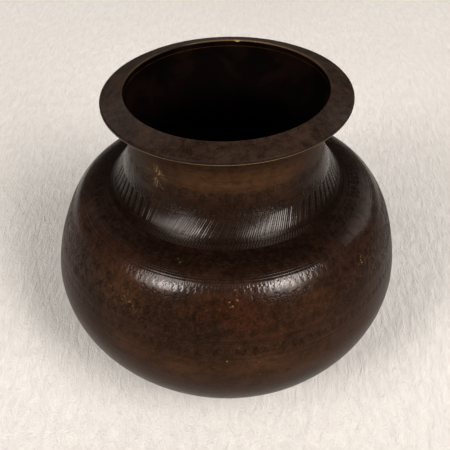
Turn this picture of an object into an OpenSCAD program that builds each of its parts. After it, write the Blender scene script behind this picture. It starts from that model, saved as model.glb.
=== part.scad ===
// Lota water pot: a round-bellied metal pot with a flared neck and a drooping flat rim.
// A lower bowl, an upper bowl, a neck and a rim ring are worked apart and brazed together.
// Each shell seam is a stepped lap: the lower piece has an inner tongue, the upper an outer one.
// Frame: +Z up, origin at the middle of the flat that the pot stands on, +X the raised side
// of the rim.

/* [Bowl] */
// Widest diameter of the belly, outside
belly_d = 182.4; // [160:0.2:220]
// Height of the widest line above the table
belly_h = 63.2; // [50:0.1:80]
// Diameter of the flat that the pot stands on
foot_d = 60; // [40:1:80]
// Rise from the widest line to the line cut round the shoulder
shoulder_rise = 43.8; // [34:0.1:54]
// Slope of the wall at the shoulder line, below the horizontal, in degrees
shoulder_slope = 29; // [22:1:36]
// Width of the domed top of the bowl, from the shoulder line in to the neck, on the radius
dome_w = 14.2; // [11:0.1:18]
// Rise of the domed top of the bowl
dome_rise = 5.4; // [4:0.1:7]

/* [Neck] */
// Narrowest diameter of the neck, outside
waist_d = 95.6; // [84:0.2:116]
// How far the neck's foot stands out from its narrowest line, on the radius
neck_flare = 11.6; // [8:0.1:14]
// Rise from the neck's foot to its narrowest line
waist_rise = 23.6; // [18:0.1:30]
// How far the neck opens again towards the mouth, on the radius
throat_flare = 2.4; // [0:0.1:4]
// Rise from the narrowest line to the rim's seat
throat_rise = 23; // [18:0.1:28]

/* [Rim] */
// Width of the rim ring from the mouth to its outer edge, on the radius
rim_w = 11; // [8:0.1:14]
// Thickness of the rim ring at the mouth
rim_t = 3.2; // [2.6:0.1:4.5]
// Thickness of the rim ring at its outer edge
rim_edge_t = 2; // [1.6:0.1:3]
// Drop of the rim's top face from the mouth to its outer edge
rim_drop = 3.1; // [1:0.1:5]
// Lean of the rim across the pot, +X side up, in degrees
rim_lean = 1.4; // [0:0.1:3]

/* [Metal and seams] */
// Wall of the two bowls and the neck
wall = 2.2; // [1.8:0.1:3]
// Length of each stepped lap, along the wall
lap = 7; // [5:0.5:9]
// Thickness of the brazing metal in a seam
braze_t = 0.25; // [0.15:0.05:0.4]
// Leg of the brazed fillet under the rim
fillet_leg = 3; // [2:0.25:4]
// Radius of the rim's worn edges
edge_r = 0.7; // [0.4:0.1:0.8]

/* [Hidden] */
$fn = 144;

bronze = [0.27, 0.18, 0.13];
worn_bronze = [0.33, 0.24, 0.18];
brazing = [0.45, 0.33, 0.17];

belly_r = belly_d / 2;
foot_r = foot_d / 2;
waist_r = waist_d / 2;
neck_foot_r = waist_r + neck_flare;
throat_r = waist_r + throat_flare;
shoulder_r = neck_foot_r + dome_w;
mouth_r = throat_r - wall;
rim_r = mouth_r + rim_w;

shoulder_z = belly_h + shoulder_rise;
neck_foot_z = shoulder_z + dome_rise;
waist_z = neck_foot_z + waist_rise;
seat_z = waist_z + throat_rise;
// The neck is made this much too long, then trimmed to the rim's leaning seat
trim = rim_r * sin(rim_lean) + 1;

// Half height of the ellipse that runs from the foot's edge to the widest line
lower_b = belly_h / sqrt(1 - pow(foot_r / belly_r, 2));
foot_angle = acos(foot_r / belly_r);

// Reach of the curves' handles, as shares of the stretch that each one spans
belly_hold = 0.21;
shoulder_hold = 0.69;
dome_hold = 0.5;
flare_hold = 0.45;
waist_hold = 0.37;
throat_hold = 0.38;
// Slope of the neck's foot below the horizontal, in degrees
flare_slope = 47;

function quadratic(a, b, c, steps) = [
    for (i = [1:steps]) let (t = i / steps)
        (1 - t) * (1 - t) * a + 2 * (1 - t) * t * b + t * t * c
];

function cubic(a, b, c, d, steps) = [
    for (i = [1:steps]) let (t = i / steps, u = 1 - t)
        u * u * u * a + 3 * u * u * t * b + 3 * u * t * t * c + t * t * t * d
];

function below_horizontal(angle) = [cos(angle), -sin(angle)];

belly_point = [belly_r, belly_h];
shoulder_point = [shoulder_r, shoulder_z];
neck_foot_point = [neck_foot_r, neck_foot_z];
waist_point = [waist_r, waist_z];
throat_point = [throat_r, seat_z];

lower_steps = 36;
upper_steps = 20;
dome_steps = 8;
flare_steps = 14;
throat_steps = 10;

// The outside of the whole shell as [radius, height], from the middle of the foot to the
// untrimmed top of the neck
lower_line = [
    for (i = [0:lower_steps]) let (a = -foot_angle * (1 - i / lower_steps))
        [belly_r * cos(a), belly_h + lower_b * sin(a)]
];
upper_line = cubic(
    belly_point,
    belly_point + [0, belly_hold * shoulder_rise],
    shoulder_point + shoulder_hold * (belly_r - shoulder_r) * below_horizontal(shoulder_slope),
    shoulder_point,
    upper_steps
);
dome_line = quadratic(
    shoulder_point,
    shoulder_point - dome_hold * dome_w * below_horizontal(shoulder_slope),
    neck_foot_point,
    dome_steps
);
flare_line = cubic(
    neck_foot_point,
    neck_foot_point - flare_hold * neck_flare * below_horizontal(flare_slope),
    waist_point - [0, waist_hold * waist_rise],
    waist_point,
    flare_steps
);
throat_line = cubic(
    waist_point,
    waist_point + [0, throat_hold * throat_rise],
    throat_point - [0, throat_hold * throat_rise],
    throat_point,
    throat_steps
);
profile = concat(
    [[0, 0]], lower_line, upper_line, dome_line, flare_line, throat_line,
    [throat_point + [0, trim]]
);
last = len(profile) - 1;

// Distance along the profile to each of its points
function run(i) = i == 0 ? 0 : run(i - 1) + norm(profile[i] - profile[i - 1]);
function unit(v) = v / norm(v);
// Direction into the metal at a point of the profile
function inward(i) =
    i == 0 ? [0, 1] :
    i == last ? [-1, 0] :
    let (along = unit(unit(profile[i + 1] - profile[i]) + unit(profile[i] - profile[i - 1])))
        [-along[1], along[0]];

runs = [for (i = [0:last]) run(i)];
inwards = [for (i = [0:last]) inward(i)];
r_table = [for (i = [0:last]) [runs[i], profile[i][0]]];
z_table = [for (i = [0:last]) [runs[i], profile[i][1]]];
in_r_table = [for (i = [0:last]) [runs[i], inwards[i][0]]];
in_z_table = [for (i = [0:last]) [runs[i], inwards[i][1]]];

// The point at a distance s along the profile and a depth into the metal
function skin(s, depth) = [
    lookup(s, r_table) + depth * lookup(s, in_r_table),
    lookup(s, z_table) + depth * lookup(s, in_z_table)
];
// The stretch of one depth between two distances, through every profile point between them
function stretch(s0, s1, depth) = concat(
    [skin(s0, depth)],
    [for (i = [0:last]) if (runs[i] > s0 && runs[i] < s1) skin(runs[i], depth)],
    [skin(s1, depth)]
);
function backwards(points) = [for (i = [len(points) - 1:-1:0]) points[i]];

// Each lap as the distances of its outer line and its inner end. The belly lap straddles the
// widest line, and the neck's outer line is the groove at the neck's foot.
belly_run = runs[1 + lower_steps];
neck_foot_run = runs[1 + lower_steps + upper_steps + dome_steps];
belly_lap = [belly_run - lap / 2, belly_run + lap / 2];
neck_lap = [neck_foot_run, neck_foot_run + lap];
outer_face = (wall - braze_t) / 2;
inner_face = (wall + braze_t) / 2;

// The face of the upper piece's outer tongue, and of the lower piece's inner tongue
function outer_tongue(seam) = stretch(seam[0] + braze_t, seam[1], outer_face);
function inner_tongue(seam) = stretch(seam[0], seam[1] - braze_t, inner_face);

// The brazing metal of a lap fills the step between the two tongues
function braze_outline(seam) = concat(
    [skin(seam[0], 0)],
    [skin(seam[0] + braze_t, 0)],
    outer_tongue(seam),
    [skin(seam[1], wall), skin(seam[1] - braze_t, wall)],
    backwards(inner_tongue(seam))
);

module turned(outline) {
    rotate_extrude() polygon(outline);
}

module on_rim_seat() {
    translate([0, 0, seat_z]) rotate([0, -rim_lean, 0]) children();
}

module lower_bowl() {
    color(bronze) turned(concat(
        stretch(0, belly_lap[0], 0),
        inner_tongue(belly_lap),
        backwards(stretch(0, belly_lap[1] - braze_t, wall))
    ));
}

module upper_bowl() {
    color(bronze) turned(concat(
        stretch(belly_lap[0] + braze_t, neck_lap[0], 0),
        inner_tongue(neck_lap),
        backwards(stretch(belly_lap[1], neck_lap[1] - braze_t, wall)),
        backwards(outer_tongue(belly_lap))
    ));
}

// The neck before its top is trimmed to the rim's seat
module neck_blank() {
    turned(concat(
        stretch(neck_lap[0] + braze_t, runs[last], 0),
        backwards(stretch(neck_lap[1], runs[last], wall)),
        backwards(outer_tongue(neck_lap))
    ));
}

module neck() {
    color(bronze) difference() {
        neck_blank();
        on_rim_seat() cylinder(r = rim_r, h = 3 * trim);
    }
}

// Heights on the rim are taken from its seat, which is the trimmed top of the neck
rim_low_z = braze_t;
rim_high_z = braze_t + rim_t;
rim_edge_high_z = rim_high_z - rim_drop;
rim_edge_low_z = rim_edge_high_z - rim_edge_t;

// A corner worn round: a curve between the points at distance r along its two sides
function worn(before, corner, after, r) = let (
    a = corner + r * unit(before - corner),
    c = corner + r * unit(after - corner)
) concat([a], quadratic(a, corner, c, 5));

mouth_low = [mouth_r, rim_low_z];
mouth_high = [mouth_r, rim_high_z];
edge_high = [rim_r, rim_edge_high_z];
edge_low = [rim_r, rim_edge_low_z];
seat_edge = [throat_r, rim_low_z];

module rim_ring() {
    color(worn_bronze) on_rim_seat() turned(concat(
        [mouth_low, seat_edge],
        worn(seat_edge, edge_low, edge_high, edge_r),
        worn(edge_low, edge_high, mouth_high, edge_r),
        worn(edge_high, mouth_high, mouth_low, edge_r)
    ));
}

module belly_braze() {
    color(brazing) turned(braze_outline(belly_lap));
}

module neck_braze() {
    color(brazing) turned(braze_outline(neck_lap));
}

// A thin layer on the seat, which runs out into a hollow fillet under the rim
fillet_out = seat_edge + fillet_leg * unit(edge_low - seat_edge);
fillet_down = [throat_r, -fillet_leg];

module rim_braze() {
    color(brazing) difference() {
        on_rim_seat() turned(concat(
            [[mouth_r, 0], mouth_low, seat_edge, fillet_out],
            quadratic(fillet_out, seat_edge, fillet_down, 6),
            [[throat_r - wall / 2, -fillet_leg], [throat_r - wall / 2, 0]]
        ));
        neck();
    }
}

lower_bowl();
upper_bowl();
neck();
rim_ring();
belly_braze();
neck_braze();
rim_braze();
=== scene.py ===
"""Lota water pot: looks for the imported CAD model.

Every piece of the pot is rebuilt as a dense turned mesh on the outline that the CAD model has,
with the chased and engraved bands cut into its surface. Lengths in the building functions are in
millimetres, and angles round the pot are measured from the front (-Y) towards +X.
"""

import math

import bpy
import numpy as np
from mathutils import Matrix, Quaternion, Vector


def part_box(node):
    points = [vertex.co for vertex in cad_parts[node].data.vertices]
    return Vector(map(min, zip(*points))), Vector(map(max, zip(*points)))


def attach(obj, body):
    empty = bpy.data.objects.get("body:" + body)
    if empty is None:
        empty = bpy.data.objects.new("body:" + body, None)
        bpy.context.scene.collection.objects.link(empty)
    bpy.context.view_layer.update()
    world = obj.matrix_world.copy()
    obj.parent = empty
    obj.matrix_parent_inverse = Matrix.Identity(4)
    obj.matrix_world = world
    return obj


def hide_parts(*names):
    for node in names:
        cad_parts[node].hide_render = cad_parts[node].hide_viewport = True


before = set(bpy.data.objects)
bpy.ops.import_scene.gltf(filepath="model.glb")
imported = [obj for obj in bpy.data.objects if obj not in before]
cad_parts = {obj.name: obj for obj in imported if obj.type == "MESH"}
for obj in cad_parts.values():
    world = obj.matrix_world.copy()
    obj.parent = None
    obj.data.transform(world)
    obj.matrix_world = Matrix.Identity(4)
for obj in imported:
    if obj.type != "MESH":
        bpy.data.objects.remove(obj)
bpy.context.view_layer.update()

MM = 0.001
rng = np.random.default_rng(1907)

# ---------------------------------------------------------------------------------------------
# Sizes, as in the CAD model
# ---------------------------------------------------------------------------------------------
FOOT_R = 30.0
BELLY_R, BELLY_Z = 91.2, 63.2
SHOULDER_R, SHOULDER_Z, SHOULDER_SLOPE = 73.6, 107.0, 29.0
NECK_R, NECK_Z, NECK_SLOPE = 59.4, 112.4, 47.0
WAIST_R, WAIST_Z = 47.8, 136.0
THROAT_R, SEAT_Z = 50.2, 159.0
MOUTH_R, RIM_R = 48.0, 59.0
RIM_T, RIM_EDGE_T, RIM_DROP = 3.2, 2.0, 3.1
RIM_LEAN = math.radians(1.4)
EDGE_R = 0.7
WALL, LAP, BRAZE = 2.2, 7.0, 0.25
FILLET = 3.0
OUTER_FACE = (WALL - BRAZE) / 2
INNER_FACE = (WALL + BRAZE) / 2

CAD_TOLERANCE = 1.5
for label, stated, measured in (
    ("belly radius", BELLY_R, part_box("upper_bowl")[1].x),
    ("rim radius", RIM_R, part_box("rim_ring")[1].y),
    ("seat height", SEAT_Z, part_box("neck")[1].z),
):
    if abs(stated - measured / MM) > CAD_TOLERANCE:
        raise ValueError(f"{label} is {measured / MM:.2f} mm in the CAD model, not {stated}")


def bezier(points, steps):
    """Points of a Bezier curve of any degree, without its first point."""
    t = np.linspace(0, 1, steps + 1)[1:, None]
    layer = [np.array(p, float)[None] + 0 * t for p in points]
    while len(layer) > 1:
        layer = [(1 - t) * a + t * b for a, b in zip(layer, layer[1:])]
    return layer[0]


def downhill(degrees):
    """Unit step outward and down at an angle below the horizontal."""
    a = math.radians(degrees)
    return np.array([math.cos(a), -math.sin(a)])


def shell_outline():
    """The outside of the shell as [radius, height], from the middle of the foot to the seat.

    Also the index of each stretch's last point: belly, shoulder, neck's foot, waist and seat.
    """
    belly = np.array([BELLY_R, BELLY_Z])
    shoulder = np.array([SHOULDER_R, SHOULDER_Z])
    foot_of_neck = np.array([NECK_R, NECK_Z])
    waist = np.array([WAIST_R, WAIST_Z])
    throat = np.array([THROAT_R, SEAT_Z])
    half_height = BELLY_Z / math.sqrt(1 - (FOOT_R / BELLY_R) ** 2)
    angle = -math.acos(FOOT_R / BELLY_R) * (1 - np.linspace(0, 1, 400))
    low = np.column_stack([BELLY_R * np.cos(angle), BELLY_Z + half_height * np.sin(angle)])
    slope, flare = downhill(SHOULDER_SLOPE), downhill(NECK_SLOPE)
    rise = SHOULDER_Z - BELLY_Z
    upper = bezier([belly, belly + [0, 0.21 * rise],
                    shoulder + 0.69 * (BELLY_R - SHOULDER_R) * slope, shoulder], 240)
    dome = bezier([shoulder, shoulder - 0.5 * (SHOULDER_R - NECK_R) * slope, foot_of_neck], 90)
    neck = bezier([foot_of_neck, foot_of_neck - 0.45 * (NECK_R - WAIST_R) * flare,
                   waist - [0, 0.37 * (WAIST_Z - NECK_Z)], waist], 160)
    top = bezier([waist, waist + [0, 0.38 * (SEAT_Z - WAIST_Z)],
                  throat - [0, 0.38 * (SEAT_Z - WAIST_Z)], throat], 120)
    foot = np.column_stack([np.linspace(0, FOOT_R, 60)[:-1], np.zeros(59)])
    ends = np.cumsum([len(foot) + len(low), len(upper), len(dome), len(neck), len(top)]) - 1
    return np.concatenate([foot, low, upper, dome, neck, top]), ends


def smoothed(values, width):
    """Values averaged with their neighbours under a bell of that many samples."""
    reach = int(3 * width)
    bell = np.exp(-0.5 * (np.arange(-reach, reach + 1) / width) ** 2)
    padded = np.pad(values, reach, mode="edge")
    return np.convolve(padded, bell / bell.sum(), mode="valid")


# Places on the pot's skin are distances along the outline from the middle of the foot (s)
line, stretch_ends = shell_outline()
line_run = np.concatenate([[0], np.cumsum(np.hypot(*np.diff(line, axis=0).T))])
BELLY_S, _, NECK_S, WAIST_S, SEAT_S = line_run[stretch_ends]
RUN = np.linspace(0, SEAT_S, 2400)
RADIUS = np.interp(RUN, line_run, line[:, 0])
HEIGHT = np.interp(RUN, line_run, line[:, 1])
# The crease at the neck's foot is worn a little round
softness = np.exp(-((RUN - NECK_S) / 2.2) ** 2)
RADIUS = RADIUS + softness * (smoothed(RADIUS, 7) - RADIUS)
HEIGHT = HEIGHT + softness * (smoothed(HEIGHT, 7) - HEIGHT)
# The unit step into the metal at each point of the outline
IN_R = smoothed(-np.gradient(HEIGHT, RUN), 9)
IN_Z = smoothed(np.gradient(RADIUS, RUN), 9)
inward_length = np.hypot(IN_R, IN_Z)
IN_R, IN_Z = IN_R / inward_length, IN_Z / inward_length


def radius_at(s):
    """The shell's radius at a distance along the outline."""
    return float(np.interp(s, RUN, RADIUS))


# How far the pot leans out of true, +X side up, in degrees at each height
LEAN_Z = np.array([0, BELLY_Z, 76, 90, 99, SHOULDER_Z, NECK_Z, 128, 150, 175])
LEAN_DEG = np.array([0, 0, 0.6, 1.5, 1.2, 0.7, 0.64, 0.9, 1.4, 1.4])
lean_heights = np.linspace(0, 175, 1751)
lean_slopes = smoothed(np.tan(np.radians(np.interp(lean_heights, LEAN_Z, LEAN_DEG))), 30)
# The top of the neck leans exactly as the rim does
lean_slopes = np.where(lean_heights > SEAT_Z - 4, math.tan(RIM_LEAN), lean_slopes)


def leaning(x, z):
    """Heights after the pot's unevenness."""
    return z + x * np.interp(z, lean_heights, lean_slopes)


# ---------------------------------------------------------------------------------------------
# Engraving, drawn on a map of the upper shell: rows along the outline, columns round the pot
# ---------------------------------------------------------------------------------------------
COLUMNS = 1720
STEP = 0.33
MAP_START = 118.0
MAP_S = np.arange(MAP_START, SEAT_S + STEP, STEP)
MAP_A = (np.arange(COLUMNS) / COLUMNS * 2 - 1) * math.pi
cut_map = np.zeros((len(MAP_S), COLUMNS))    # depth of the engraving in mm
# The glint layer holds worn scratches, with their glints painted in as bright colour
glint_map = np.zeros((len(MAP_S), COLUMNS))  # bright scratches, 0 to 1
soot_map = np.zeros((len(MAP_S), COLUMNS))   # extra dark dirt, 0 to 1


def wobble(angle, size, seed):
    """A slow, closed wander round the pot."""
    source = np.random.default_rng(seed)
    total = np.zeros_like(angle)
    for waves in (2, 3, 5, 8, 13):
        total += source.normal() * np.sin(waves * angle + source.uniform(0, 6.3)) / waves ** 0.5
    return size * total / 2


def groove(distance, width):
    """Profile of a cut: 1 in its middle, 0 at its edges."""
    u = np.clip(1 - distance / (width / 2), 0, 1)
    return u * u * (3 - 2 * u)


def nearest_stroke(x, y, strokes):
    """Distance from each point to the nearest of some polylines."""
    best = np.full(np.broadcast(x, y).shape, 99.0)
    for stroke in strokes:
        for (ax, ay), (bx, by) in zip(stroke, stroke[1:]):
            dx, dy = bx - ax, by - ay
            t = np.clip(((x - ax) * dx + (y - ay) * dy) / (dx * dx + dy * dy + 1e-9), 0, 1)
            best = np.minimum(best, np.hypot(x - ax - t * dx, y - ay - t * dy))
    return best


def arc(cx, cy, radius, start, end, steps=8):
    """An arc about (cx, cy) between two angles in degrees."""
    a = np.radians(np.linspace(start, end, steps + 1))
    return np.column_stack([cx + radius * np.cos(a), cy + radius * np.sin(a)])


def spiral(cx, cy, outer, inner, start, turns, steps=16):
    """A curl that winds from the outer radius to the inner one."""
    t = np.linspace(0, 1, steps + 1)
    a = np.radians(start + 360 * turns * t)
    r = outer + (inner - outer) * t
    return np.column_stack([cx + r * np.cos(a), cy + r * np.sin(a)])


def leaf(x, y, length, heading, plump=0.3, steps=6):
    """Two bowed sides and a midrib, from the stalk at (x, y)."""
    t = np.linspace(0, 1, steps + 1)
    bow = plump * length * np.sin(math.pi * t)
    ca, sa = math.cos(math.radians(heading)), math.sin(math.radians(heading))
    sides = []
    for sign in (1, -1, 0):
        u, v = length * t, sign * bow
        sides.append(np.column_stack([x + u * ca - v * sa, y + u * sa + v * ca]))
    return sides


def floret(cx, cy, radius, petals=5):
    """A ring of small round petals."""
    return [arc(cx + 0.55 * radius * math.cos(2 * math.pi * k / petals),
                cy + 0.55 * radius * math.sin(2 * math.pi * k / petals),
                0.45 * radius, 0, 360, 6) for k in range(petals)]


def mirrored(strokes):
    """The same figure, left to right."""
    return [np.column_stack([-s[:, 0], s[:, 1]]) for s in strokes]


class Band:
    """A stretch of the map between two distances along the outline."""

    def __init__(self, low, high):
        self.rows = np.where((MAP_S >= low - 0.8) & (MAP_S <= high + 0.8))[0]
        self.middle = (low + high) / 2
        self.radius = radius_at(self.middle)
        self.y = MAP_S[self.rows][:, None] - self.middle
        self.x = MAP_A[None] * self.radius
        self.inside = (MAP_S[self.rows] >= low) & (MAP_S[self.rows] <= high)

    def cut(self, depth, columns=slice(None), layer=cut_map):
        """Raises a layer of the map to these values where it is lower."""
        part = layer[self.rows][:, columns]
        layer[self.rows[:, None], np.arange(COLUMNS)[columns][None]] = np.maximum(part, depth)

    def tiles(self, pitch, jitter=0.0, seed=0):
        """(tile number, place in the tile) of every column, for whole tiles round the pot."""
        count = round(2 * math.pi * self.radius / pitch)
        place = (MAP_A / (2 * math.pi) + 0.5) * count
        number = np.floor(place).astype(int) % count
        shift = np.random.default_rng(seed).uniform(-jitter, jitter, count)[number]
        across = (place - np.floor(place) - 0.5) * (2 * math.pi * self.radius / count) + shift
        return number, across, count

    def repeat(self, pitch, motifs, width, depth, jitter=0.0, seed=0):
        """Cuts one of the motifs into each tile, with a little change of height and weight."""
        number, across, count = self.tiles(pitch, jitter, seed)
        source = np.random.default_rng(seed + 1)
        choice = source.integers(0, len(motifs), count)
        lift = source.uniform(-0.5, 0.5, count) * jitter
        weight = source.uniform(0.7, 1.1, count)
        for k, motif in enumerate(motifs):
            columns = np.where(choice[number] == k)[0]
            if len(columns):
                own = number[columns]
                away = nearest_stroke(across[None, columns], self.y - lift[own][None], motif)
                self.cut(depth * weight[own][None] * groove(away, width), columns)


def ring_line(s, width, depth, wander=0.12, seed=0):
    """A line cut right round the pot by a hand that wanders a little."""
    band = Band(s - 1.5, s + 1.5)
    away = np.abs(band.y - wobble(MAP_A, wander, seed)[None])
    weight = 0.8 + wobble(MAP_A, 0.25, seed + 50)[None]
    band.cut(depth * np.clip(weight, 0.3, 1.1) * groove(away, width))


def stamp(layer, degrees, s, strokes, width, depth):
    """Draws strokes, in mm about one point of the shell, on one layer of the map."""
    reach = max(np.abs(np.concatenate(strokes)).max(), 1) + width
    turn = (MAP_A - math.radians(degrees) + math.pi) % (2 * math.pi) - math.pi
    x = turn * radius_at(s)
    rows = np.where(np.abs(MAP_S - s) <= reach)[0]
    columns = np.where(np.abs(x) <= reach)[0]
    if len(rows) == 0 or len(columns) == 0:
        return
    away = nearest_stroke(x[columns][None], (MAP_S[rows] - s)[:, None], strokes)
    part = layer[rows[:, None], columns[None]]
    layer[rows[:, None], columns[None]] = np.maximum(part, depth * groove(away, width))


def hatch_band(low, high):
    """Slanting fine hatching, with sunk dark bars between the strips away from the front."""
    bar_pitch, bar_middle, strokes_per_bar = 4.4, 0.75, 4
    worn_half_angle = 34
    band = Band(low, high)
    # The strokes change their slant on the left of the front
    lean = 0.47 * np.clip((MAP_A + 0.75) / 0.35, -0.4, 1)
    shear = band.x - lean[None] * band.y + wobble(MAP_A, 0.5, 3)[None]
    count = round(2 * math.pi * band.radius / bar_pitch)
    pitch = 2 * math.pi * band.radius / count
    place = shear / pitch
    share = place - np.floor(place)
    fine = shear / (pitch / strokes_per_bar)
    fine_away = np.abs(fine - np.round(fine)) * pitch / strokes_per_bar
    weight = 0.85 + wobble(MAP_A, 0.3, 9)[None] + 0.3 * np.sin(fine * 2.3)
    unworn = np.clip((np.degrees(np.abs(MAP_A)) - worn_half_angle) / 14, 0.12, 1)[None]
    bar = np.clip(6 * (0.5 - np.abs(share - bar_middle) * 2.6), 0, 1) * unworn
    depth = np.maximum(0.13 * groove(fine_away, 0.75) * np.clip(weight, 0.6, 1.1), 0.14 * bar)
    band.cut(depth * band.inside[:, None])
    band.cut(bar * band.inside[:, None], layer=soot_map)


def rope_band(low, high):
    """Short slanting cuts, like the lay of a rope."""
    pitch = 1.45
    band = Band(low, high)
    count = round(2 * math.pi * band.radius / pitch)
    place = (band.x - 0.7 * band.y) / (2 * math.pi * band.radius / count)
    away = np.abs(place - np.round(place)) * pitch
    band.cut(0.2 * groove(away, 0.7) * band.inside[:, None])


def engrave():
    """Every band of ornament, from the mouth down."""
    curl = [spiral(-0.9, 0.2, 2.4, 0.5, -90, 1.3), *leaf(1.0, -2.6, 3.4, 70), *leaf(2.2, -2.4, 2.6, 40)]
    bud = [arc(0, -0.4, 1.9, 200, 520, 9), *leaf(-0.2, -2.2, 3.8, 88, 0.22), *leaf(-1.6, -2.2, 2.4, 130)]
    Band(209, 215.6).repeat(6.4, [curl, bud, mirrored(curl)], 0.55, 0.15, 0.6, 11)
    bead = [arc(-0.4, -0.7, 0.65, 0, 360, 6), *leaf(-0.1, 0.2, 1.6, 72, 0.3)]
    Band(203.0, 206.4).repeat(2.1, [bead, mirrored(bead)], 0.55, 0.11, 0.25, 12)
    ring_line(206.9, 0.5, 0.1, seed=1)
    ring_line(202.7, 0.5, 0.12, seed=2)
    hatch_band(193.2, 202.2)
    ring_line(192.9, 0.5, 0.1, seed=4)
    Band(191.2, 192.8).repeat(1.7, [[np.array([(-0.2, -0.4), (0.25, 0.4)])]], 0.6, 0.09, 0.1, 13)
    ring_line(191.0, 0.5, 0.2, 0.06, seed=5)
    rope_band(189.1, 190.8)
    ring_line(NECK_S, 0.7, 0.2, 0.0, seed=6)

    ring_line(185.6, 0.6, 0.2, seed=7)
    wave = np.column_stack([np.linspace(-5.2, 5.2, 17),
                            1.5 * np.sin(np.linspace(-math.pi, math.pi, 17))])
    scroll = [wave, *floret(-2.6, 1.2, 1.5), *floret(2.6, -1.2, 1.5), *leaf(0, 0.2, 2.6, 60),
              *leaf(0, -0.2, 2.6, 240), *leaf(4.6, 0.6, 2.2, 100)]
    bars = [np.array([(-2.0, h), (1.8, h + 0.1)]) for h in (-2.4, -1.5, -0.6)]
    barred = [wave, arc(-2.2, 1.3, 1.6, -30, 250, 8), *bars, *leaf(2.0, 1.0, 2.8, 20),
              *leaf(2.4, -1.4, 2.6, -10), *leaf(-3.8, -1.2, 2.2, 200)]
    Band(178.6, 185.2).repeat(10.4, [scroll, barred, mirrored(scroll)], 0.55, 0.22, 0.5, 14)
    ring_line(178.2, 0.5, 0.15, seed=8)
    ring_line(175.0, 0.5, 0.12, seed=9)
    ring_line(174.2, 0.5, 0.2, 0.05, seed=10)
    ring_line(172.7, 0.5, 0.2, 0.05, seed=10)

    tooth = [arc(0, 1.2, 1.15, 180, 360, 6), np.array([(-1.15, 2.3), (-1.15, 1.2)]),
             np.array([(1.15, 1.2), (1.15, 2.3)]), arc(0, 1.5, 0.3, 0, 360, 5),
             *leaf(0, -2.6, 2.0, 90, 0.35)]
    petal = [arc(0.2, 0.6, 1.0, 150, 420, 6), *leaf(-0.3, -2.4, 2.4, 75, 0.3)]
    Band(167.4, 172.4).repeat(2.9, [tooth, petal, mirrored(petal)], 0.5, 0.1, 0.45, 15)
    arabesque(145.8, 166.6)
    ring_line(145.2, 0.5, 0.13, 0.2, seed=21)
    ring_line(144.2, 0.5, 0.13, 0.2, seed=21)
    sprig = [spiral(-3, 0, 2.8, 0.5, 60, -1.2), spiral(3, 0.4, 2.8, 0.5, 120, 1.2),
             *leaf(0, -2.6, 4.6, 90, 0.25), *leaf(-5.6, -2, 3.2, 70), *leaf(5.4, -2, 3.2, 110)]
    Band(136.6, 143.6).repeat(13.0, [sprig, mirrored(sprig)], 0.55, 0.13, 0.4, 16)
    ring_line(135.8, 0.5, 0.11, 0.2, seed=22)
    ring_line(133.4, 0.5, 0.11, 0.2, seed=23)


def arabesque(low, high):
    """Dense foliage over the upper belly: a vine with scrolls, florets and feathered leaves."""
    half = 11.0
    vine_x = np.linspace(-half, half, 25)
    vine = np.column_stack([vine_x, 4.6 * np.sin(vine_x * math.pi / half)])
    one = [vine, spiral(-5.2, 2.6, 4.4, 0.7, -60, 1.5, 26), spiral(5.2, -2.6, 4.4, 0.7, 120, 1.5, 26),
           *leaf(-5.8, 2.0, 2.0, 70), *leaf(4.6, -3.2, 2.0, 70), *leaf(-9.6, -3.4, 5.0, 250),
           *leaf(-7.0, -4.6, 4.6, 285), *leaf(-2.0, -3.0, 5.4, 250), *leaf(0.4, -1.0, 4.2, 300),
           *leaf(9.6, 3.4, 5.0, 70), *leaf(7.0, 4.6, 4.6, 105), *leaf(2.0, 3.0, 5.4, 70),
           *leaf(-0.4, 1.0, 4.2, 120)]
    feathers = [arc(0, -9.5, r, 35, 145, 10) for r in (3, 5, 7, 9, 11, 13)]
    two = [vine, *feathers, *floret(0, -4.6, 1.7, 6), *leaf(-8.6, 4.0, 5.2, 60), *leaf(-6.2, 5.4, 4.2, 20),
           *leaf(8.4, -4.2, 5.0, 80), *leaf(6.0, 4.6, 5.0, 120), *leaf(9.4, 2.4, 5.4, 95)]
    three = [vine, spiral(-4.6, 3.6, 3.6, 0.6, 200, -1.4, 22), spiral(5.4, 4.4, 3.6, 0.6, 340, 1.4, 22),
             spiral(0.6, -5.4, 3.8, 0.6, 90, 1.5, 22), *floret(5.4, 4.4, 1.3), *leaf(-9.4, -1.0, 5.2, 280),
             *leaf(-6.6, -2.4, 5.6, 262), *leaf(6.4, -3.2, 5.4, 276), *leaf(9.2, -3.4, 4.8, 255)]
    filler = [[*leaf(-1.9, -1.6, 3.4, 62), *leaf(0.4, -2.6, 3.6, 96, 0.22),
               arc(1.7, 0.8, 1.1, -60, 230, 6)],
              [spiral(0.2, 0.2, 2.0, 0.4, 30, 1.2, 10), *leaf(-2.2, -2.2, 3.0, 80),
               *leaf(1.6, -2.8, 2.8, 50)],
              [arc(0, -2.4, 1.6, 30, 150, 5), arc(0, -2.4, 2.6, 35, 145, 6), arc(0, -2.4, 3.7, 40, 140, 7),
               *leaf(-2.3, 0.6, 2.6, 100), *leaf(2.2, 0.4, 2.6, 75)]]
    filler = filler + [mirrored(motif) for motif in filler]
    third = (high - low) / 3
    for k in range(3):
        Band(low + k * third, low + (k + 1) * third).repeat(5.6, filler, 0.7, 0.13, 0.7, 40 + k)
    figures = [one, two, three, mirrored(one), mirrored(three)]
    Band(low, high).repeat(2 * half, figures, 0.7, 0.125, 0.25, 17)


def rub_out():
    """Handling has worn the engraving unevenly."""
    a, s = MAP_A[None], MAP_S[:, None]
    wear = 0.85 + wobble(MAP_A, 0.22, 31)[None] + 0.12 * np.sin(s / 5.3 + 3 * a)
    return np.clip(wear, 0.3, 1.15)


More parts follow.
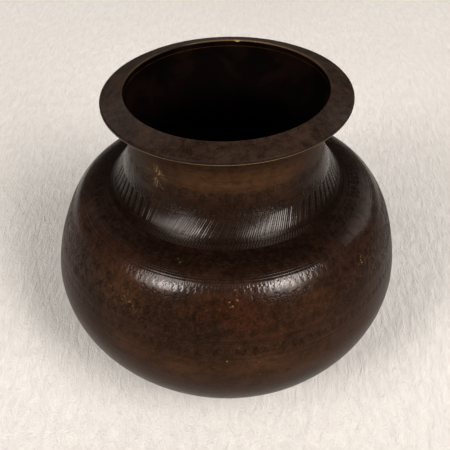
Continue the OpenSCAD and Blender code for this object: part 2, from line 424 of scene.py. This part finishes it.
GLINTS = (  # degrees round, distance along the outline, spread, count, longest stroke
    (-33, 154, 4.0, 6, 0.8),
    (50, 161, 2.6, 7, 1.0),
    (2, 166, 6.0, 10, 0.9),
    (-18, 181, 1.5, 3, 0.7),
    (6, 131, 24.0, 7, 0.5),
    (-60, 150, 20.0, 6, 0.6),
    (110, 158, 26.0, 12, 0.8),
    (-120, 163, 26.0, 12, 0.8),
    (170, 150, 30.0, 12, 0.8),
)


def scratch_marks():
    """Worn scratches painted bright as glints, and the flower of fine gold scratches on the neck."""
    for degrees, s, spread, count, longest in GLINTS:
        for _ in range(count):
            at = rng.normal(0, spread / 2, 2)
            heading = rng.uniform(0, math.pi)
            span = rng.uniform(0.3, 1) * longest / 2
            step = span * np.array([math.cos(heading), math.sin(heading)])
            turn = math.degrees(at[0] / radius_at(s))
            stroke = [np.array([-step, step])]
            stamp(glint_map, degrees + turn, s + at[1], stroke, 0.45, rng.uniform(0.05, 0.45))
    flower_at = (-41, 215.5)
    petals, stalks = 17, 9
    for k in range(petals + stalks):
        petal = k < petals
        heading = math.radians(rng.uniform(5, 175) if petal else rng.uniform(240, 300))
        start = rng.uniform(0.8, 3.4)
        reach = start + (rng.uniform(1.4, 4.4) if petal else rng.uniform(2.0, 6.0))
        u = np.linspace(start / reach, 1, 5)
        a = heading + rng.uniform(-0.5, 0.5) * u
        side = reach * u * np.cos(a) + rng.uniform(-0.6, 0.6)
        stroke = [np.column_stack([side, 0.8 + reach * u * np.sin(a)])]
        stamp(cut_map, *flower_at, stroke, 0.5, 0.05)
        stamp(glint_map, *flower_at, stroke, 0.42, rng.uniform(0.06, 0.36))


def map_value(layer, s, angle):
    """The map's values at distances s and at these angles, and 0 below the map."""
    place = np.clip((s - MAP_S[0]) / STEP, 0, len(MAP_S) - 1.001)
    low = np.floor(place).astype(int)
    share = (place - low)[:, None]
    rows = layer[low] * (1 - share) + layer[low + 1] * share
    columns = np.round((angle / (2 * math.pi) + 0.5) * COLUMNS).astype(int) % COLUMNS
    return rows[:, columns] * (s >= MAP_S[0])[:, None]


def dents(s, angle):
    """Hand-raised unevenness of the metal, in mm inward, never outward."""
    s = s[:, None]
    a = angle[None]
    slow = 0.5 + 0.25 * np.sin(3 * a + s / 31 + 0.6) + 0.25 * np.sin(5 * a - s / 23 + 2.2)
    quick = 0.5 + 0.5 * np.sin(11 * a + 2.4 * np.sin(s / 9)) * np.sin(s / 6.1 + 2 * np.sin(4 * a))
    # None at the middle of the foot, nor just below the rim
    fade = np.clip((s - 4) / 30, 0, 1) * np.clip((228 - s) / 12, 0, 1)
    return (0.26 * slow + 0.035 * quick) * fade


engrave()
cut_map *= rub_out()
scratch_marks()


# ---------------------------------------------------------------------------------------------
# Meshes
# ---------------------------------------------------------------------------------------------
def spaced(a, b, step):
    """Places from a to b, no farther apart than step."""
    return np.linspace(a, b, max(2, math.ceil(abs(b - a) / step) + 1))


def section(*stretches):
    """Rows of [distance along the outline, depth into the metal] from (a, b, step, depth)."""
    parts = []
    for a, b, step, depth in stretches:
        s = spaced(a, b, step)
        parts.append(np.column_stack([s, np.full(len(s), depth)]))
    return np.concatenate(parts)


def angles(count):
    """That many angles right round the pot, the first at the back."""
    return (np.arange(count) / count * 2 - 1) * math.pi


def round_pot(radius, height, angle):
    """(rows, columns, 3) points in metres from radii and heights in mm."""
    x = radius * np.sin(angle)[None]
    y = -radius * np.cos(angle)[None]
    return np.stack([x, y, leaning(x, height)], -1) * MM


DARK_CUT = 0.11  # the depth in mm from which a cut is wholly dark

# How much dark dirt lies in the ornament, with painted shade over the dome and in the crease at the neck's
# foot, by distance along the outline
SOIL_AND_SHADE = ((0, 0), (164, 0), (173, 0.25), (177, 0.65), (180, 0.9), (186, 1), (191, 1), (194, 0.3),
        (203, 0.3), (208, 0.5), (213, 0.45), (218, 0.15), (224, 0.1), (300, 0.1))

# How far hands have polished the patina, by distance along the outline
POLISH = ((0, 0), (120, 0.02), (156, 0.04), (162, 0.08), (166, 0.22), (168, 0.6), (173, 0.9),
          (176, 0.6), (180, 0.3), (184, 0.2), (188, 0), (193, 0.2), (196, 1), (204, 1), (208, 0.4),
          (212, 0.1), (222, 0.05), (300, 0.05))

# Worn patches of the patina: degrees round, distance along, half widths in mm, strength
GOLD = ((-15, 220, 10, 6, 0.8), (14, 221, 17, 6, 1.0), (-42, 217, 8, 8, 0.5), (30, 216, 8, 7, 0.4),
        (95, 219, 20, 7, 0.7), (170, 221, 26, 7, 0.8), (-110, 220, 22, 6, 0.7), (5, 130, 34, 9, 0.2),
        (-14, 127, 7, 5, 0.35), (12, 133, 9, 4, 0.35), (24, 124, 8, 4, 0.3),
        (-30, 133, 8, 4, 0.3), (-37, 159, 12, 6, 0.5), (27, 160, 10, 5, 0.4))
RED = ((-2, 158, 15, 7, 0.75), (18, 146, 11, 5, 0.4), (-20, 170, 14, 5, 0.4), (28, 166, 12, 7, 0.5),
       (-55, 170, 20, 6, 0.5), (120, 152, 34, 14, 0.6), (-130, 148, 36, 14, 0.6), (178, 160, 26, 12, 0.5))


def along(table, s):
    """A column of values at distances s, from a table of (distance, value)."""
    places, values = zip(*table)
    return np.interp(s, places, values)[:, None]


def shell_points(rows, angle):
    """The points of a shell piece, their marks for the material, and which rows are outside."""
    s, depth = rows[:, 0], rows[:, 1:]
    outer = depth == 0
    cut = map_value(cut_map, s, angle) * outer
    sink = depth + cut + dents(s, angle) * outer
    radius = np.interp(s, RUN, RADIUS)[:, None] + sink * np.interp(s, RUN, IN_R)[:, None]
    height = np.interp(s, RUN, HEIGHT)[:, None] + sink * np.interp(s, RUN, IN_Z)[:, None]
    marks = {
        "cut": np.clip(cut / DARK_CUT, 0, 1),
        # Dirt in the ornament, and painted shade on the dome and at the neck's foot
        "soil_and_shade": np.maximum(along(SOIL_AND_SHADE, s) * (0.9 + wobble(angle, 0.12, 61)[None]),
                           map_value(soot_map, s, angle)) * outer,
        "polish": along(POLISH, s) * outer * np.ones(len(angle)),
        "glint": map_value(glint_map, s, angle) * outer,
        "gold": patches(GOLD, s, angle) * outer,
        "red": patches(RED, s, angle) * outer,
    }
    return round_pot(radius, height, angle), marks, outer[:, 0]


def patches(spots, s, angle):
    """Soft worn spots, added up, 0 to 1."""
    total = np.zeros((len(s), len(angle)))
    for degrees, at, wide, tall, strength in spots:
        turn = (angle - math.radians(degrees) + math.pi) % (2 * math.pi) - math.pi
        x = turn * radius_at(at) / wide
        y = (s - at) / tall
        total += strength * np.exp(-0.5 * (x[None] ** 2 + y[:, None] ** 2))
    return np.clip(total, 0, 1)


def grid_faces(rows, columns, closed):
    """Four-sided faces over a grid that closes on itself round the pot."""
    i = np.arange(rows if closed else rows - 1)[:, None]
    j = np.arange(columns)[None]
    here, up = i * columns, (i + 1) % rows * columns
    right = (j + 1) % columns
    return np.stack([here + j, here + right, up + right, up + j], -1).reshape(-1, 4)


def pole_fans(rows, columns, poles):
    """The points at the axis, and the triangles that join them to the first and last rows."""
    tips, fans = [], [np.zeros((0, 3), int)]
    for number, pole in enumerate(poles):
        if pole is None:
            continue
        ring = np.arange(columns) + (rows - 1) * columns * number
        after = np.roll(ring, -1)
        first, second = (after, ring) if number == 0 else (ring, after)
        fans.append(np.column_stack([first, second, np.full(columns, rows * columns + len(tips))]))
        tips.append(pole)
    return np.array(tips, float).reshape(-1, 3), np.concatenate(fans)


def grid_mesh(name, points, marks, closed=True, poles=()):
    """A turned mesh from a grid of points. poles close its first and last rows at the axis."""
    rows, columns, _ = points.shape
    quads = grid_faces(rows, columns, closed)
    tips, fans = pole_fans(rows, columns, poles)
    vertices = np.concatenate([points.reshape(-1, 3), tips])
    mesh = bpy.data.meshes.new(name)
    mesh.vertices.add(len(vertices))
    mesh.vertices.foreach_set("co", vertices.ravel())
    mesh.loops.add(quads.size + fans.size)
    mesh.loops.foreach_set("vertex_index", np.concatenate([quads.ravel(), fans.ravel()]))
    sizes = np.concatenate([np.full(len(quads), 4), np.full(len(fans), 3)])
    mesh.polygons.add(len(sizes))
    mesh.polygons.foreach_set("loop_start", np.concatenate([[0], np.cumsum(sizes)[:-1]]))
    mesh.polygons.foreach_set("loop_total", sizes)
    mesh.update(calc_edges=True)
    mesh.polygons.foreach_set("use_smooth", np.ones(len(sizes), bool))
    mesh.set_sharp_from_angle(angle=math.radians(50))
    for key, values in marks.items():
        attribute = mesh.attributes.new(key, "FLOAT", "POINT")
        flat = np.zeros(len(vertices))
        flat[:rows * columns] = np.asarray(values).ravel()
        attribute.data.foreach_set("value", flat)
    return mesh


def new_piece(name, points, marks, closed=True, poles=()):
    """A new object in the scene."""
    piece = bpy.data.objects.new(name, grid_mesh(name, points, marks, closed, poles))
    bpy.context.scene.collection.objects.link(piece)
    return piece


def finish_piece(piece, node, material, outside=None, columns=0):
    """Gives a piece its material and its place in the frame.

    outside says which rows of the grid are the outer face, and the rest gets the dark inside, painted near
    black as shade.
    """
    piece.data.materials.append(material)
    if outside is not None:
        piece.data.materials.append(inside)
        rows = np.where(outside & np.roll(outside, -1), 0, 1)
        of_grid = np.repeat(rows, columns)[:len(piece.data.polygons)]
        index = np.zeros(len(piece.data.polygons), int)
        index[:len(of_grid)] = of_grid
        piece.data.polygons.foreach_set("material_index", index)
    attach(piece, "root")
    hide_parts(node)


# ---------------------------------------------------------------------------------------------
# Materials
# ---------------------------------------------------------------------------------------------
class Nodes:
    """Short calls that make the nodes of one material."""

    def __init__(self, name):
        self.material = bpy.data.materials.new(name)
        self.material.use_nodes = True
        self.tree = self.material.node_tree
        self.shader = self.tree.nodes["Principled BSDF"]
        self.where = self.tree.nodes.new("ShaderNodeTexCoord").outputs["Object"]

    def set(self, **values):
        for key, value in values.items():
            self.shader.inputs[key.replace("_", " ")].default_value = value

    def link(self, source, socket):
        self.tree.links.new(source, self.shader.inputs[socket])

    def math(self, operation, a, b, clamp=False):
        node = self.tree.nodes.new("ShaderNodeMath")
        node.operation = operation
        node.use_clamp = clamp
        for socket, value in zip(node.inputs, (a, b)):
            if isinstance(value, (int, float)):
                socket.default_value = value
            else:
                self.tree.links.new(value, socket)
        return node.outputs[0]

    def stretch(self, scale):
        node = self.tree.nodes.new("ShaderNodeMapping")
        node.inputs["Scale"].default_value = scale
        self.tree.links.new(self.where, node.inputs["Vector"])
        return node.outputs[0]

    def noise(self, scale, detail=4.0, rough=0.55, distortion=0.0, where=None):
        node = self.tree.nodes.new("ShaderNodeTexNoise")
        node.inputs["Scale"].default_value = scale
        node.inputs["Detail"].default_value = detail
        node.inputs["Roughness"].default_value = rough
        node.inputs["Distortion"].default_value = distortion
        self.tree.links.new(where or self.where, node.inputs["Vector"])
        return node.outputs["Fac"]

    def ramp(self, value, low, high, to_low=0.0, to_high=1.0):
        node = self.tree.nodes.new("ShaderNodeMapRange")
        node.interpolation_type = "SMOOTHSTEP"
        limits = {"From Min": low, "From Max": high, "To Min": to_low, "To Max": to_high}
        for key, number in limits.items():
            node.inputs[key].default_value = number
        self.tree.links.new(value, node.inputs["Value"])
        return node.outputs[0]

    def mark(self, key):
        node = self.tree.nodes.new("ShaderNodeAttribute")
        node.attribute_name = key
        return node.outputs["Fac"]

    def mix(self, share, a, b):
        node = self.tree.nodes.new("ShaderNodeMix")
        node.data_type = "RGBA"
        for socket, value in ((node.inputs["Factor"], share), (node.inputs[6], a), (node.inputs[7], b)):
            if isinstance(value, tuple):
                socket.default_value = (*value, 1)
            elif isinstance(value, float):
                socket.default_value = value
            else:
                self.tree.links.new(value, socket)
        return node.outputs[2]

    def bump(self, height, distance, strength=1.0, below=None):
        node = self.tree.nodes.new("ShaderNodeBump")
        node.inputs["Strength"].default_value = strength
        node.inputs["Distance"].default_value = distance
        self.tree.links.new(height, node.inputs["Height"])
        if below:
            self.tree.links.new(below, node.inputs["Normal"])
        return node.outputs[0]


# Colours of the patina, from bare metal to soot, in linear light; the bright, golden and copper ones also
# paint highlights and glints, and the soot one also paints shade
DARK = (0.0072, 0.0032, 0.0018)
BROWN = (0.0240, 0.0107, 0.0056)
COPPER = (0.0360, 0.0092, 0.0030)
GOLDEN = (0.0560, 0.0255, 0.0105)
BRIGHT = (0.62, 0.40, 0.17)
SOOT_AND_SHADE = (0.0024, 0.0010, 0.0007)
BLACK_SHADE = (0.0010, 0.0004, 0.0003)
NECK_BROWN = (0.0120, 0.0052, 0.0024)
RIM_BROWN, RIM_DARK = (0.0245, 0.0140, 0.0092), (0.0050, 0.0026, 0.0016)
BRAZE_BROWN, BRAZE_DARK = (0.050, 0.022, 0.008), (0.016, 0.007, 0.003)
WARM_SHEEN = (1.0, 0.82, 0.70, 1.0)


def aged_bronze(name, brown=BROWN, dark=DARK, roughness=0.34, gloss=0.035):
    """Brown patina over bronze, worn to copper and gold by hands and cloths, with painted shade,
    highlights and glints.
    """
    n = Nodes(name)
    clouds = n.noise(30, 5, 0.6, 0.6)
    mottle = n.noise(260, 6, 0.7, 0.5)
    grain = n.noise(1300, 3, 0.6)
    streaks = n.noise(70, 4, 0.6, 0.2, n.stretch((0.35, 0.35, 6.0)))
    tone = n.math("ADD", n.math("MULTIPLY", mottle, 0.6), n.math("MULTIPLY", clouds, 0.4))
    colour = n.mix(n.ramp(tone, 0.34, 0.66), dark, brown)
    reddened = n.math("MULTIPLY", n.ramp(clouds, 0.4, 0.6), n.ramp(mottle, 0.35, 0.6, 0.4))
    # Red and gold marks: worn patches, and on the rim's lower edge a painted highlight
    colour = n.mix(n.math("MULTIPLY", n.mark("red"), reddened), colour, COPPER)
    gold_breakup = n.math("MULTIPLY", n.ramp(streaks, 0.3, 0.65, 0.6), n.ramp(mottle, 0.32, 0.6, 0.55))
    colour = n.mix(n.math("MULTIPLY", n.mark("gold"), gold_breakup), colour, GOLDEN)
    colour = n.mix(n.ramp(grain, 0.56, 0.74, 0.0, 0.7), colour, GOLDEN)
    shine = n.math("MULTIPLY", n.mark("polish"), n.ramp(mottle, 0.25, 0.6, 0.55, 1.0))
    # Soil mark: dirt in the ornament, and painted shade on the dome, at the neck's foot and on the rim's
    # side
    colour = n.mix(n.math("MULTIPLY", n.mark("soil_and_shade"), n.ramp(mottle, 0.3, 0.6, 1.0, 0.7)), colour, SOOT_AND_SHADE)
    colour = n.mix(n.math("MULTIPLY", n.mark("cut"), 0.8), colour, SOOT_AND_SHADE)
    # Glint mark: painted glints on worn scratches, and painted highlights on the rim's edge, lip and nick
    colour = n.mix(n.mark("glint"), colour, BRIGHT)
    n.link(colour, "Base Color")
    rough = n.ramp(mottle, 0.2, 0.8, roughness - 0.06, roughness + 0.06)
    rough = n.math("SUBTRACT", rough, n.math("MULTIPLY", n.mark("polish"), 0.06))
    rough = n.math("ADD", rough, n.math("MULTIPLY", n.mark("cut"), 0.2), True)
    n.link(rough, "Roughness")
    clean = n.math("SUBTRACT", 1.0, n.math("MULTIPLY", n.mark("soil_and_shade"), 0.85))
    n.link(n.math("MULTIPLY", shine, clean), "Coat Weight")
    n.set(Metallic=0.04, Specular_IOR_Level=gloss, Specular_Tint=WARM_SHEEN, Coat_Roughness=0.19)
    pits = n.bump(grain, 0.00007, 0.7)
    dings = n.bump(mottle, 0.00022, 0.6, pits)
    n.link(n.bump(streaks, 0.00012, 0.4, dings), "Normal")
    return n.material


def shaded_inside():
    """The pot's inside: dull, painted near black as shade, browner in blotches towards the mouth."""
    n = Nodes("inside_patina_and_shade")
    blotches = n.noise(45, 6, 0.6, 0.5)
    grain = n.noise(700, 4, 0.6)
    split = n.tree.nodes.new("ShaderNodeSeparateXYZ")
    n.tree.links.new(n.where, split.inputs[0])
    up_the_neck = n.ramp(split.outputs["Z"], 0.125, 0.16)
    browned = n.math("MULTIPLY", up_the_neck, n.ramp(blotches, 0.4, 0.75, 0.0, 0.6))
    # Painted shade: near black deep in the pot, browner in blotches up the neck
    colour = n.mix(n.ramp(blotches, 0.45, 0.75), BLACK_SHADE, SOOT_AND_SHADE)
    n.link(n.mix(browned, colour, DARK), "Base Color")
    n.link(n.ramp(grain, 0.3, 0.7, 0.6, 0.8), "Roughness")
    n.set(Specular_IOR_Level=0.02)
    n.link(n.bump(blotches, 0.0006, 0.5, n.bump(grain, 0.0001, 0.6)), "Normal")
    return n.material


FLOOR_LIGHT, FLOOR_SHADE = (0.75, 0.765, 0.745), (0.665, 0.68, 0.665)
FLOOR_CLOUD, FLOOR_FALLOFF_DARK = (0.655, 0.66, 0.63), (0.10, 0.10, 0.095)
FADE_FROM, FADE_TO = 0.62, 0.95  # metres from the pot


def pale_cloth():
    """The floor: pale, matt and finely creased, with a painted falloff of light that makes it dark far
    from the pot.
    """
    n = Nodes("pale_floor")
    creases = n.noise(240, 8, 0.7, 0.3, n.stretch((1.0, 0.3, 1.0)))
    grain = n.noise(900, 4, 0.7)
    clouds = n.noise(3.0, 4, 0.5)
    colour = n.mix(n.ramp(creases, 0.35, 0.65), FLOOR_SHADE, FLOOR_LIGHT)
    colour = n.mix(n.ramp(clouds, 0.3, 0.7, 0.0, 0.5), colour, FLOOR_CLOUD)
    # Painted falloff of light: the floor fades to dark away from the pot
    away = n.tree.nodes.new("ShaderNodeVectorMath")
    away.operation = "LENGTH"
    n.tree.links.new(n.where, away.inputs[0])
    colour = n.mix(n.ramp(away.outputs["Value"], FADE_FROM, FADE_TO), colour, FLOOR_FALLOFF_DARK)
    n.link(colour, "Base Color")
    n.set(Roughness=0.8, Specular_IOR_Level=0.25)
    n.link(n.bump(grain, 0.0005, 0.7, n.bump(creases, 0.0026, 0.8)), "Normal")
    return n.material


# ---------------------------------------------------------------------------------------------
# The pot's pieces
# ---------------------------------------------------------------------------------------------
bowl_bronze = aged_bronze("bowl_patina")
neck_bronze = aged_bronze("neck_patina", NECK_BROWN)
rim_bronze = aged_bronze("rim_patina", RIM_BROWN, RIM_DARK, 0.46, gloss=0.1)
inside = shaded_inside()
braze_metal = aged_bronze("braze_patina", BRAZE_BROWN, BRAZE_DARK, 0.42)

# Columns of a piece without engraving, and row spacing on a lap's faces and on the inside
SMOOTH_COLUMNS = 720
LAP_STEP, BACK_STEP = 1.4, 2.5
belly_lap = (BELLY_S - LAP / 2, BELLY_S + LAP / 2)
neck_lap = (NECK_S, NECK_S + LAP)


def lower_bowl():
    """The bowl's plain lower shell, whose rim goes inside the upper one."""
    first_ring, outer_step = 1.5, 1.2
    rows = section((first_ring, belly_lap[0], outer_step, 0),
                   (belly_lap[0], belly_lap[1] - BRAZE, LAP_STEP, INNER_FACE),
                   (belly_lap[1] - BRAZE, first_ring, BACK_STEP, WALL))
    points, marks, outside = shell_points(rows, angles(SMOOTH_COLUMNS))
    poles = ((0, 0, 0), (0, 0, WALL * MM))
    piece = new_piece("lower_bowl_shell", points, marks, closed=False, poles=poles)
    finish_piece(piece, "lower_bowl", bowl_bronze, outside, SMOOTH_COLUMNS)


def upper_bowl():
    """The engraved upper shell, from the belly's widest line to the foot of the neck."""
    rows = section((belly_lap[0] + BRAZE, neck_lap[0], STEP, 0),
                   (neck_lap[0], neck_lap[1] - BRAZE, LAP_STEP, INNER_FACE),
                   (neck_lap[1] - BRAZE, belly_lap[1], BACK_STEP, WALL),
                   (belly_lap[1], belly_lap[0] + BRAZE, LAP_STEP, OUTER_FACE))
    points, marks, outside = shell_points(rows, angles(COLUMNS))
    piece = new_piece("upper_bowl_shell", points, marks)
    finish_piece(piece, "upper_bowl", bowl_bronze, outside, COLUMNS)


def neck():
    """The hatched neck, from its foot to the seat of the rim."""
    throat_step = 1.6
    rows = section((neck_lap[0] + BRAZE, SEAT_S, STEP, 0), (SEAT_S, neck_lap[1], throat_step, WALL),
                   (neck_lap[1], neck_lap[0] + BRAZE, LAP_STEP, OUTER_FACE))
    points, marks, outside = shell_points(rows, angles(COLUMNS))
    piece = new_piece("neck_shell", points, marks)
    finish_piece(piece, "neck", neck_bronze, outside, COLUMNS)


def lap_braze(name, node, seam):
    """The brazing metal that fills a lap, seen as a thin line at each end."""
    s0, s1 = seam
    rows = section((s0, s0 + BRAZE, BRAZE, 0), (s0 + BRAZE, s1, LAP_STEP, OUTER_FACE),
                   (s1, s1 - BRAZE, BRAZE, WALL), (s1 - BRAZE, s0, LAP_STEP, INNER_FACE))
    points, marks, outside = shell_points(rows, angles(SMOOTH_COLUMNS))
    piece = new_piece(name, points, marks)
    finish_piece(piece, node, braze_metal, outside, SMOOTH_COLUMNS)


def on_seat(outline, angle, sink=None):
    """Points of a turned section that stands on the rim's leaning seat. sink lowers each point."""
    radius = np.repeat(outline[:, :1], len(angle), 1)
    height = np.repeat(outline[:, 1:], len(angle), 1)
    if sink is not None:
        radius = radius + sink[..., 0]
        height = height + sink[..., 1]
    x, y = radius * np.sin(angle)[None], -radius * np.cos(angle)[None]
    c, s = math.cos(RIM_LEAN), math.sin(RIM_LEAN)
    return np.stack([x * c - height * s, y, SEAT_Z + x * s + height * c], -1) * MM


def worn(before, corner, after, reach, steps=6):
    """A rounded corner between two sides of a section."""
    before, corner, after = (np.array(p, float) for p in (before, corner, after))
    start = corner + reach * (before - corner) / np.linalg.norm(before - corner)
    end = corner + reach * (after - corner) / np.linalg.norm(after - corner)
    return np.concatenate([[start], bezier([start, corner, end], steps)])


def straight(a, b, steps):
    """Points between a and b, without either."""
    t = np.linspace(0, 1, steps + 2)[1:-1, None]
    return (1 - t) * np.array(a, float) + t * np.array(b, float)


def rim_ring():
    """The flange, sloping down to its edge, with worn corners and a nick in the lip behind."""
    low, high = BRAZE, BRAZE + RIM_T
    edge_high, edge_low = high - RIM_DROP, high - RIM_DROP - RIM_EDGE_T
    mouth_low, seat_edge = (MOUTH_R, low), (THROAT_R, low)
    bottom, top, mouth_high = (RIM_R, edge_low), (RIM_R, edge_high), (MOUTH_R, high)
    c1 = worn(seat_edge, bottom, top, EDGE_R)
    c2 = worn(bottom, top, mouth_high, EDGE_R)
    c3 = worn(top, mouth_high, mouth_low, EDGE_R)
    outline = np.concatenate([
        [mouth_low, seat_edge], straight(seat_edge, c1[0], 9), c1, straight(c1[-1], c2[0], 2), c2,
        straight(c2[-1], c3[0], 16), c3, straight(c3[-1], mouth_low, 4)])
    angle = angles(SMOOTH_COLUMNS)
    a = angle[None]
    face = np.zeros((len(outline), len(angle)))
    top_rows = (outline[:, 1] > edge_high - 0.2) & (outline[:, 0] > MOUTH_R + 0.1)
    ripple = 0.5 + 0.3 * np.sin(5 * a + 1) + 0.2 * np.sin(9 * a + outline[:, :1] / 2)
    face[top_rows] = ripple[top_rows]
    ripple_depth, nick_depth, nick_angle = 0.12, 0.7, 173
    sink = np.stack([0 * face, -ripple_depth * face], -1)
    nick = np.exp(-0.5 * (np.degrees(angle) - nick_angle) ** 2)
    lip = np.exp(-0.5 * ((outline - mouth_high) ** 2).sum(1) / 0.6)
    nicked = lip[:, None] * nick[None]
    sink[..., 1] -= nick_depth * nicked
    points = on_seat(outline, angle, sink)
    # Painted highlights in bright metal colours: a line along the worn lower edge, a streak along the lip
    # at the back and a spot at the nick
    edge = np.clip(outline[:, 0] - RIM_R + 1.0, 0, 1) * (outline[:, 1] < edge_low + 0.5)
    painted_edge_highlight = edge[:, None] * np.clip(0.5 + wobble(angle, 0.5, 71)[None], 0, 1)
    side = (outline[:, :1] > RIM_R - 0.4) * np.ones(len(angle))
    back = np.clip(np.degrees(np.abs(angle)) / 60 - 1.6, 0, 1)
    uneven = np.clip(0.6 + wobble(angle, 0.7, 72), 0, 1)
    painted_lip_highlight = np.clip(1.6 * lip, 0, 1)[:, None] * (back * uneven)[None]
    inner = (outline[:, 0] < MOUTH_R + 0.2) & (outline[:, 1] < high - 0.9)
    marks = {
        "cut": 0 * face,
        # Painted shade: the flange's outer side is darkened
        "soil_and_shade": 0.6 * side * (1 - edge[:, None]),
        "polish": 0.22 * (1 - side),
        # Painted highlights on the lower edge, on the lip at the back and at the nick
        "glint": 0.4 * painted_edge_highlight + 0.14 * painted_lip_highlight + 0.4 * nicked,
        "gold": painted_edge_highlight,
        "red": 0.6 * painted_edge_highlight,
    }
    piece = new_piece("rim_flange", points, marks)
    finish_piece(piece, "rim_ring", rim_bronze, ~inner, SMOOTH_COLUMNS)


def rim_braze():
    """The brazing metal under the flange, with a lumpy hand-made fillet outside."""
    low, high = BRAZE, BRAZE + RIM_T
    edge_low = np.array([RIM_R, high - RIM_DROP - RIM_EDGE_T])
    seat_edge = np.array([THROAT_R, low])
    out = seat_edge + FILLET * (edge_low - seat_edge) / np.linalg.norm(edge_low - seat_edge)
    skin_r = float(np.interp(SEAT_Z - FILLET, HEIGHT[RUN > WAIST_S], RADIUS[RUN > WAIST_S]))
    down = np.array([skin_r, -FILLET])
    curve = bezier([down, seat_edge - [0, 0.3], out], 10)
    before = np.array([(MOUTH_R, 0), (THROAT_R - 0.02, 0), down])
    outline = np.concatenate([before, curve, straight(out, seat_edge, 2),
                              [seat_edge, (MOUTH_R, low)]])
    angle = angles(SMOOTH_COLUMNS)
    lumps = 0.5 + 0.3 * np.sin(23 * angle) * np.sin(7 * angle + 1) + 0.2 * np.sin(41 * angle + 2)
    on_curve = np.zeros(len(outline))
    lumpy = len(curve) - 1
    on_curve[len(before):len(before) + lumpy] = np.sin(np.linspace(0, math.pi, lumpy))
    move = 0.14 * on_curve[:, None] * lumps[None]
    points = on_seat(outline, angle, np.stack([-move, move], -1))
    zero = np.zeros((len(outline), len(angle)))
    marks = {"soil_and_shade": zero + 0.3, "gold": zero + 0.15}
    marks.update({key: zero for key in ("cut", "polish", "glint", "red")})
    finish_piece(new_piece("rim_seam", points, marks), "rim_braze", braze_metal)


# ---------------------------------------------------------------------------------------------
# Floor, lights and camera
# ---------------------------------------------------------------------------------------------
def floor():
    """A flat floor that curves up into a low wall far round the pot."""
    flat, bend, top = 2.5, 0.35, 0.8
    level = np.linspace(0.02, flat, 24)
    rise = np.linspace(0, math.pi / 2, 12)[1:]
    radius = np.concatenate([level, flat + bend * np.sin(rise), [flat + bend]])
    height = np.concatenate([0 * level, bend * (1 - np.cos(rise)), [top]])
    turn = angles(96)[None]
    points = np.stack([radius[:, None] * np.sin(turn), -radius[:, None] * np.cos(turn),
                       height[:, None] + 0 * turn], -1)
    disc = grid_mesh("floor", points[::-1], {}, closed=False, poles=(None, (0, 0, 0)))
    disc.materials.append(pale_cloth())
    stage = bpy.data.objects.new("floor", disc)
    bpy.context.scene.collection.objects.link(stage)


WARM_LIGHT = (1.0, 0.9, 0.85)
AIM = Vector((-0.00066, 0, 0.07693))  # where the camera and the lamps point


def on_sphere(azimuth, elevation, distance):
    """A place at that distance from the aim; azimuth runs from the front towards +X."""
    a, e = math.radians(azimuth), math.radians(elevation)
    return AIM + distance * Vector((math.sin(a) * math.cos(e), -math.cos(a) * math.cos(e), math.sin(e)))


def softbox(name, azimuth, elevation, distance, wide, tall, tilt, radiance):
    """A lamp that covers wide by tall degrees, seen from the pot, and is tilted in its plane."""
    width = 2 * distance * math.tan(math.radians(wide / 2))
    height = 2 * distance * math.tan(math.radians(tall / 2))
    lamp = bpy.data.lights.new(name, "AREA")
    lamp.shape = "RECTANGLE"
    lamp.size, lamp.size_y = width, height
    lamp.energy = radiance * math.pi * width * height
    lamp.color = WARM_LIGHT
    holder = bpy.data.objects.new(name, lamp)
    holder.location = on_sphere(azimuth, elevation, distance)
    facing = (AIM - holder.location).to_track_quat("-Z", "Y")
    holder.rotation_euler = (facing @ Quaternion((0, 0, 1), math.radians(tilt))).to_euler()
    bpy.context.scene.collection.objects.link(holder)


def lights():
    """Two softboxes in front, each with a brighter lamp in it, weak fills behind, a dim room."""
    softbox("left_box", -49, 38, 3.0, 23, 42, 0, 7.5)
    softbox("left_lamp", -42, 34, 2.9, 9, 14, 0, 27.0)
    softbox("right_box", 43, 38, 3.0, 20, 40, -20, 14.0)
    softbox("right_lamp", 39, 42, 2.9, 8, 14, -20, 24.0)
    softbox("back_left", -152, 40, 3.0, 46, 30, 0, 0.6)
    softbox("back_right", 128, 30, 3.0, 34, 30, 0, 1.0)
    world = bpy.data.worlds.new("studio")
    world.use_nodes = True
    room = world.node_tree.nodes["Background"]
    room.inputs["Color"].default_value = (1.0, 0.98, 0.95, 1)
    room.inputs["Strength"].default_value = 0.05
    bpy.context.scene.world = world


def camera():
    """The photo's view."""
    azimuth, elevation, distance = 0, 40.26, 0.354
    lens = bpy.data.cameras.new("camera")
    lens.sensor_width = 36.0
    lens.lens = 51.64
    lens.clip_start = 0.01
    holder = bpy.data.objects.new("camera", lens)
    holder.location = on_sphere(azimuth, elevation, distance)
    holder.rotation_euler = (AIM - holder.location).to_track_quat("-Z", "Y").to_euler()
    bpy.context.scene.collection.objects.link(holder)
    bpy.context.scene.camera = holder


lower_bowl()
upper_bowl()
neck()
lap_braze("belly_seam", "belly_braze", belly_lap)
lap_braze("neck_seam", "neck_braze", neck_lap)
rim_ring()
rim_braze()
floor()
lights()
camera()
bpy.context.scene.view_settings.view_transform = "Standard"
